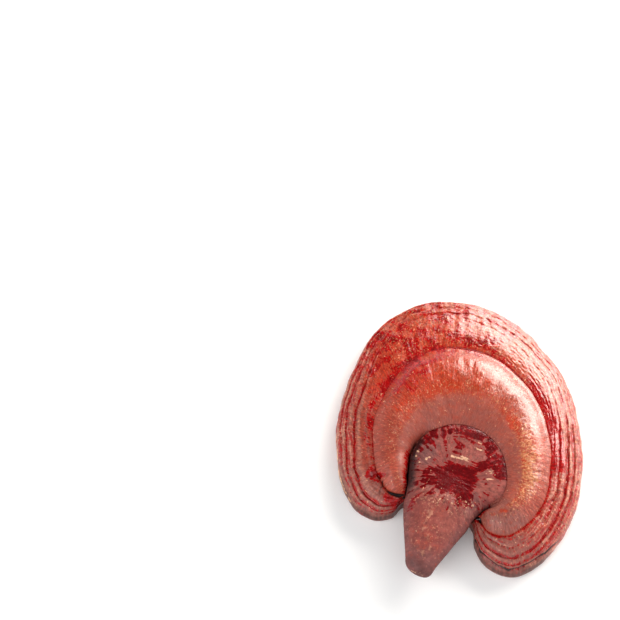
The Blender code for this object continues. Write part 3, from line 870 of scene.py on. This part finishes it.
def cap_cast(form):
    """How far the skin is mauve, tan and smooth at each point."""
    x, y, line, _, past, out, ring_at, across = form.places()
    lobes = smooth(y, -6.0, -22.0)
    left = smooth(line, 8.0, 6.5)
    on_roll = smooth(past, 0.0, -1.0)
    inner = smooth(across, 0.55, 0.3) * on_roll
    ridge = form.pleats() ** 2

    mauve = most(
        0.5 * inner + 0.35 * left * span(past, -4.0, -1.0, 0.0, 1.0),
        0.6 * left * ridge * smooth(past, 1.0, 2.5),
        0.95 * smooth(ring_at, 3.4, 1.8) * lobes,
        0.85 * smooth(past, 0.5, 2.0) * smooth(y, -10.0, -22.0),
        0.8 * smooth(line, 17.8, 19.4) * on_roll,
    )
    golden = bell(across - 0.6, 0.3) * span(line, 13.2, 15.5, 16.8, 19.8)
    golden = golden * (1 + 0.7 * rough(x / 4, y / 4, 35.0))
    back_left = span(line, 6.5, 8.0, 10.5, 12.0) * smooth(past, 1.0, 3.0)
    ridge = ridge * smooth(ring_at, 14.0, 11.0) * smooth(past, 1.0, 2.0)
    tan = most(
        0.6 * golden + 0.35 * bell(across - 0.4, 0.2) * smooth(line, 8.0, 10.0) * on_roll,
        0.3 * left * bell(across - 0.6, 0.25),
        (0.15 + 0.6 * rough(x / 4, y / 4, 37.0)) * back_left,
        # the tan on the ridge tops of the brim is partly a painted highlight
        0.45 * ridge * (left + smooth(line, 13.0, 15.0)) * (1 - lobes),
    )
    calm = most(
        0.72 * inner * smooth(out, 0.5, 2.0),
        0.35 * left * on_roll,
        0.45 * smooth(line, 19.0, 20.5) * on_roll,
        0.4 * lobes,
    )
    return np.dstack([mauve, tan, calm])


def cap_bands(form):
    """How far the skin is striped along the rings, matt and flecked with gold at each point."""
    x, y, line, _, past, out, ring_at, across = form.places()
    left = span(line, 1.0, 2.5, 7.4, 8.6)
    right = span(line, 12.0, 13.5, 21.0, 22.0)
    back = span(line, 7.4, 8.6, 12.0, 13.5)
    brim = smooth(past, 0.5, 2.0)
    on_roll = smooth(past, 0.0, -1.0)

    striped = left * smooth(ring_at, 8.5, 6.5) + 0.9 * right
    striped = striped + (0.22 + 0.23 * smooth(line, 9.5, 11.0)) * back
    striped = striped * brim * (1 - 0.4 * smooth(y, -12.0, -22.0))
    # The varnish shines at the back right, and on the roll it ends in a ragged edge
    edge = line + 0.9 * rough(x / 3.5, y / 3.5, 36.0)
    shiny_roll = smooth(line, 9.5, 11.0) * smooth(edge, 14.9, 14.5)
    shiny = np.where(past < 0, shiny_roll, 0.8 * span(line, 9.9, 11.2, 13.0, 14.5))
    matt = most(
        smooth(across, 0.5, 0.2) * on_roll,
        0.9 * smooth(y, -8.0, -22.0),
        0.45 * (1 - shiny),
        smooth(out, 1.5, 0.5),
        form.crease * bell(past, 2.0),
        0.85 * smooth(line, 9.9, 8.9),
    )
    golden = bell(across - 0.6, 0.3) * span(line, 13.2, 15.5, 17.4, 20.4)
    golden = 0.52 * golden + 0.35 * bell(across - 0.45, 0.25) * on_roll
    return np.dstack([striped, matt, most(golden, 0.45 * back * brim)])


class REISHI_OT_cap(Operator):
    """Makes the lacquered cap with its pore layer"""

    bl_idname = "reishi.make_cap"
    bl_label = "Make the cap"

    def execute(self, context):
        settings = context.scene.reishi_cap
        form = CapForm()
        wander = waves(form.along, RING_WANDER)
        roll_plan, roll_height, roll_past = form.roll()
        brim_plan, brim_height, brim_past = form.brim(wander)
        lip_plan, lip_height, lip_past = form.below_lip()
        hub_share = np.linspace(0, 1, HUB_ROWS + 1)[:-1, None, None]
        hub_plan = form.hub + (lip_plan[0] - form.hub) * hub_share
        below_stem = stem_heights(hub_plan[:, :, 0], hub_plan[:, :, 1])[0]
        hub_height = np.minimum(FOLD_HEIGHT, below_stem)
        hub_past = -form.roll_width - 1 - np.linalg.norm(lip_plan[0] - hub_plan, axis=2)

        form.plan = np.concatenate([hub_plan, lip_plan, roll_plan, brim_plan])
        form.past = np.vstack([hub_past, lip_past, roll_past, brim_past])
        form.from_rim = form.brim_width - form.past
        form.out = form.past + form.roll_width
        form.ring_at = form.from_rim / form.squeeze - wander
        heights = np.vstack([hub_height, lip_height, roll_height, brim_height])
        points = np.dstack([form.plan, heights])
        points = points + grid_normals(points) * cap_relief(settings, form)[:, :, None]
        below_stem = stem_heights(points[:, :, 0], points[:, :, 1])[0]
        pressed = (form.lip < LEAST_LIP) | (np.arange(len(points)) < HUB_ROWS)[:, None]
        points[:, :, 2] = np.where(pressed, np.minimum(points[:, :, 2], below_stem), points[:, :, 2])
        under_plan, under_height = form.under()
        everything = np.concatenate([points, np.dstack([under_plan, under_height])])

        along = np.broadcast_to(form.along, form.past.shape)
        attributes = {
            "growth": np.dstack([along, form.ring_at, form.out]),
            "tint_and_shade": cap_tint_and_shade(form),
            "wear_and_sheen": cap_wear_and_sheen(form),
            "cast": cap_cast(form),
            "bands": cap_bands(form),
        }
        # Below the rim the skin goes on round the nose, without the rim's pale line and its painted
        # shadow line; on the lobes the nose is painted dark
        down = np.cumsum(np.linalg.norm(np.diff(everything[len(points) - 1:], axis=0), axis=2), axis=0)
        below = {
            label: np.repeat(values[-1:], len(down), axis=0) for label, values in attributes.items()}
        below["growth"] += np.dstack([0 * down, -down, down])
        below["wear_and_sheen"][:, :, 2] *= smooth(down, 0.6, 0.1)
        lobes = smooth(form.rim[:, 1], -6.0, -24.0)
        below["tint_and_shade"][:, :, 2] *= smooth(down, 0.4, 0.0)
        below["tint_and_shade"][:, :, 2] = most(0.55 * lobes, below["tint_and_shade"][:, :, 2])
        for label, values in attributes.items():
            attributes[label] = np.concatenate([values, below[label]])
        start = (0.0, 0.0, float(stem_heights(np.zeros(1), np.zeros(1))[0][0]))
        cap = make_mesh("reishi_cap", everything, start, (0.0, 0.0, 0.0), attributes, head_middle())

        cap.data.materials.append(crust_material(
            "laccate cap crust", CAP_COLOURS, dullness=0.38, coat=0.8, ringed=True))
        cap.data.materials.append(pore_material(settings.pore_colour[:]))
        flat_from = (len(points) + UNDER_ROWS - 1) * CAP_COLUMNS
        flat_to = (len(everything) - 1) * CAP_COLUMNS
        slots = np.zeros(len(cap.data.polygons), np.int32)
        slots[flat_from:flat_to] = 1
        slots[-CAP_COLUMNS:] = 1
        cap.data.polygons.foreach_set("material_index", slots)
        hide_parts("cap")
        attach(cap, "root")
        return {"FINISHED"}


def stem_outline():
    """The smooth stem: x, y and z, how far up its outline each point is, from -1 to 1, and the left
    side and the edge height of each ring."""
    rows = np.asarray(STEM_SECTIONS)
    t = np.linspace(0, len(rows) - 1, STEM_SAMPLES)
    steps = np.linalg.norm(np.diff(spline(rows, t)[:, [0, 2, 3]], axis=0), axis=1)
    t = evenly(t, steps, STEM_RINGS)
    y, left, right, top, bottom, power = spline(rows, t).T[:, :, None]
    turn = np.linspace(0, 2 * np.pi, STEM_SIDES, endpoint=False)[None, :]
    outward = np.sign(np.cos(turn)) * np.abs(np.cos(turn)) ** (2 / power)
    upward = np.sign(np.sin(turn)) * np.abs(np.sin(turn)) ** (2 / power)
    edge = np.minimum(STEM_EDGE, 0.5 * (top + bottom))
    x = 0.5 * (left + right) + outward * 0.5 * (right - left)
    z = edge + upward * np.where(upward > 0, top - edge, edge - bottom)
    return x, np.broadcast_to(y, x.shape), z, upward, left, edge


def head_fan(x, y):
    """Places on a circle round the head's middle, where its ridges fan out from, and mm out."""
    reach = np.hypot(x - HEAD_MIDDLE[0], y - HEAD_MIDDLE[1])
    scale = FAN_RADIUS / np.maximum(reach, 0.5)
    return (x - HEAD_MIDDLE[0]) * scale, (y - HEAD_MIDDLE[1]) * scale, reach


def head_inside(x, y):
    """0 at the edge of the head, which lies below the lip, and 1 inside it and on the stalk."""
    return most(smooth(np.hypot(x - 1.0, (y - 0.5) * 1.03), 20.0, 15.5), smooth(y, -8.0, -14.0))


def stem_relief(settings, x, y):
    """Height in mm that the fine form adds along the surface's normal, on the upper side."""
    round_x, round_y, reach = head_fan(x, y)
    inside = head_inside(x, y)
    ridges = rough(round_x / 1.5, round_y / 1.5, reach / 11) * smooth(reach, 2.0, 8.0)
    lumps = rough(x / 9.0, y / 9.0, 53.0) + 0.5 * rough(x / 3.5, y / 3.5, 54.0)
    relief = settings.wrinkle_height * ridges + 0.08 * rough(x / 1.3, y / 1.3, 55.0)
    relief = relief * (0.4 + 0.6 * inside)
    relief = relief + lumps * (0.4 - 0.22 * smooth(y, -20.0, -12.0)) * inside
    relief = relief - settings.dimple_depth * bell(np.hypot((x - 1.5) / 10.0, (y + 8.0) / 6.5), 1.0)
    return relief + 0.5 * bell(y + 19.0, 3.0) * bell(x + 3.0, 14.0)


def stem_marks(x, y, upward, left):
    """The attributes that the crust's paint is read from."""
    plan = np.dstack([x, y])
    round_x, round_y, reach = head_fan(x, y)
    above = smooth(upward, -0.2, 0.4)
    shank = span(y, -49.0, -43.0, -24.0, -17.0)
    on_head = smooth(y, -26.0, -16.0)
    patches = rough(x / 6, y / 6, 61.0) + 0.6 * rough(x / 2.5, y / 2.5, 62.0)
    # The head's left side, which turns away from the light, is painted grey and dark: painted shade
    shaded_head_side = bell(np.hypot((x + 15.0) / 6.0, (y + 1.5) / 8.0), 1.0)
    fringe = stroke(plan, HEAD_FRINGE, 3.2)
    stalk_middle = shank * bell((x - 0.3) / 8.0, 1.0)

    # The crimson of the head is torn along the ridges
    streaks = rough(round_x / 0.7, round_y / 0.7, reach / 9)
    streaks = streaks + 0.7 * rough(round_x / 0.3, round_y / 0.3, reach / 5)
    torn = 1.5 * streaks * smooth(reach, 4.0, 12.0) + 1.2 * rough(x / 1.3, y / 2.2, 65.0)
    torn = torn * (1 - 0.4 * smooth(x, 6.0, 13.0))
    centre = most(stroke(plan, HEAD_RED_MIDDLE, 4.8), stroke(plan, HEAD_RED_TONGUE, 4.6))
    crimson = most(
        1.1 * smooth(stroke(plan, HEAD_RED_ARC, 3.4), 0.25, 0.75),
        1.2 * smooth(spots(plan, HEAD_RED_SPOTS), 0.2, 0.65),
        1.4 * smooth(centre, 0.2, 0.7),
        0.75 * stroke(plan, NECK_RED_EDGE, 1.8),
        0.32 * fringe,
        0.10,
    )
    crimson = crimson + (0.2 + 0.15 * on_head) * patches + on_head * torn - 0.45 * shaded_head_side
    orange = 0.45 * stalk_middle + 0.3 * patches
    # Painted shade: the sides that face down are darker, and so are the head's left side and the
    # stalk's left edge, which turn away from the light; the tip is darker too
    low = smooth(upward, 0.6 - 0.4 * smooth(y, -16.0, -8.0), -0.1)
    dark_and_shade = most(
        0.5 * low * (1 - 0.6 * head_inside(x, y) * smooth(y, -12.0, -6.0)),
        0.53 * smooth(y, -39.0, -49.0),
        0.52 * shaded_head_side,
        0.7 * bell(x - left - 1.2, 3.4) * span(y, -28.0, -16.0, 2.0, 9.0),
    )

    speckle = 0.12 + 0.05 * shank + 0.45 * fringe * smooth(x, -6.0, 0.0)
    bloom_and_sheen = 0.35 + 0.5 * bell(y + 17.5, 4.0) + 0.3 * stroke(plan, HEAD_BLOOM, 4.0)
    hairs = rough(round_x / 0.4, round_y / 0.4, reach / 4) + 0.5 * rough(x / 1.2, y / 1.2, 63.0)
    hairs = smooth(hairs, 0.10, 0.32) * smooth(spots(plan, HEAD_FIBRE_PATCHES), 0.15, 0.6)
    pale = most(
        0.95 * spots(plan, HEAD_SPECKS),
        0.45 * smooth(y, -50.0, -51.5),
        0.85 * hairs,
        0.55 * stroke(plan, HEAD_FIBRE, 0.4),
    )
    # Painted shade: the sides that turn away from up are painted mauve-grey, and so is the head's left
    # side; the tip is mauve too
    mauve = most(
        0.3 + 0.7 * smooth(upward, 0.85, 0.3) + 0.8 * smooth(y, -38.0, -48.0),
        1.2 * shaded_head_side,
        0.9 * stroke(plan, NECK_MAUVE, 2.4),
    )
    tan = stalk_middle * (0.25 + 1.2 * np.clip(rough(x / 2.2, y / 3.5, 64.0), 0, 1))
    calm = 0.35 + 0.35 * smooth(y, -20.0, -26.0)
    matt = most(0.8, smooth(upward, 0.8, 0.3))
    flecked = 0.25 * shank + 0.45 * fringe
    return {
        "growth": np.dstack([round_x, round_y, reach]),
        "tint_and_shade": np.dstack([crimson * above, orange * above, dark_and_shade]),
        "wear_and_sheen": np.dstack([speckle, bloom_and_sheen * above, pale * above]),
        "cast": np.dstack([mauve, tan, calm]),
        "bands": np.dstack([np.zeros_like(x), matt, flecked]),
    }


class REISHI_OT_stem(Operator):
    """Makes the stem with its rounded head"""

    bl_idname = "reishi.make_stem"
    bl_label = "Make the stem"

    def execute(self, context):
        settings = context.scene.reishi_stem
        x, y, z, upward, left, edge = stem_outline()
        points = np.dstack([x, y, z])
        relief = stem_relief(settings, x, y) * (0.25 + 0.75 * smooth(upward, -0.2, 0.4))
        points = points + grid_normals(points) * relief[:, :, None]
        ends = [
            (float(points[k, :, 0].mean()), float(y[k, 0]) + way * STEM_END, float(edge[k, 0]))
            for k, way in ((0, 1), (-1, -1))
        ]
        marks = stem_marks(x, y, upward, left)
        stem = make_mesh("reishi_stem", points, *ends, marks, head_middle())
        stem.data.materials.append(crust_material(
            "laccate stem crust", STEM_COLOURS, dullness=0.50, coat=0.2, ringed=False))
        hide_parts("stem")
        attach(stem, "root")
        return {"FINISHED"}


def softbox(context, name, heading, elevation, distance, size, power, colour):
    """An area light that faces the mushroom from a heading and an elevation in degrees."""
    light = bpy.data.lights.new(name, "AREA")
    light.shape = "RECTANGLE"
    light.size, light.size_y = size
    light.energy = power
    light.color = srgb(colour)[:3]
    lamp = bpy.data.objects.new(name, light)
    context.scene.collection.objects.link(lamp)
    way = direction(heading, elevation)
    lamp.location = way * distance
    lamp.rotation_euler = way.to_track_quat("Z", "Y").to_euler()


class REISHI_OT_stage(Operator):
    """Makes the paper floor, the softboxes, the white room and the camera"""

    bl_idname = "reishi.make_stage"
    bl_label = "Make the stage"

    def execute(self, context):
        settings = context.scene.reishi_stage
        bpy.ops.mesh.primitive_plane_add(size=4.0, location=(0.0, 0.0, 0.0))
        floor = context.active_object
        floor.name = "paper_floor"
        floor.data.materials.append(paper_material())

        softbox(context, "key softbox", *KEY_SOFTBOX, settings.key_power, "#fffaf2")
        softbox(context, "front softbox", *FRONT_SOFTBOX, settings.front_power, "#ffffff")

        world = bpy.data.worlds.new("white room")
        world.use_nodes = True
        tree = world.node_tree
        way = add(tree, "TexCoord", {}, "Generated")
        near = add(tree, "VectorMath", {0: way, 1: direction(*DARK_SPOT)}, 1,
                   operation="DOT_PRODUCT")
        walls = add(tree, "MapRange", {
            "Value": near, "From Min": 0.42, "From Max": 0.9,
            "To Min": settings.room_light, "To Max": 0.06 * settings.room_light},
            interpolation_type="SMOOTHSTEP")
        feed(tree, tree.nodes["Background"], {"Strength": walls, "Color": srgb("#ffffff")})
        context.scene.world = world

        lens = bpy.data.cameras.new("camera")
        lens.lens = settings.lens
        lens.sensor_width = 36.0
        lens.clip_start = 0.01
        camera = bpy.data.objects.new("camera", lens)
        context.scene.collection.objects.link(camera)
        turn = Matrix.Rotation(np.radians(CAMERA_HEADING), 4, "Z")
        tilt = Matrix.Rotation(np.radians(90.0 - CAMERA_PITCH), 4, "X")
        place = Vector(CAMERA_PLACE) * MM + head_middle()
        camera.matrix_world = Matrix.Translation(place) @ turn @ tilt
        context.scene.camera = camera
        context.scene.view_settings.view_transform = "Standard"
        context.scene.view_settings.look = "Medium High Contrast"
        return {"FINISHED"}


class REISHI_PT_panel(Panel):
    """Lists the pieces of the mushroom in the sidebar"""

    bl_idname = "REISHI_PT_panel"
    bl_label = "Reishi mushroom"
    bl_space_type = "VIEW_3D"
    bl_region_type = "UI"
    bl_category = "Reishi"

    def draw(self, context):
        for piece in SETTINGS:
            box = self.layout.box()
            settings = getattr(context.scene, f"reishi_{piece}")
            for name in settings.__annotations__:
                box.prop(settings, name)
            box.operator(f"reishi.make_{piece}")


SETTINGS = {
    "cap": ReishiCapSettings,
    "stem": ReishiStemSettings,
    "stage": ReishiStageSettings,
}
CLASSES = (*SETTINGS.values(), REISHI_OT_cap, REISHI_OT_stem, REISHI_OT_stage, REISHI_PT_panel)


def register():
    for cls in CLASSES:
        bpy.utils.register_class(cls)
    for piece, group in SETTINGS.items():
        setattr(bpy.types.Scene, f"reishi_{piece}", PointerProperty(type=group))


def unregister():
    for piece in SETTINGS:
        delattr(bpy.types.Scene, f"reishi_{piece}")
    for cls in reversed(CLASSES):
        bpy.utils.unregister_class(cls)


def main():
    register()
    bpy.ops.reishi.make_cap()
    bpy.ops.reishi.make_stem()
    bpy.ops.reishi.make_stage()
    bpy.context.view_layer.update()


if __name__ == "__main__":
    main()
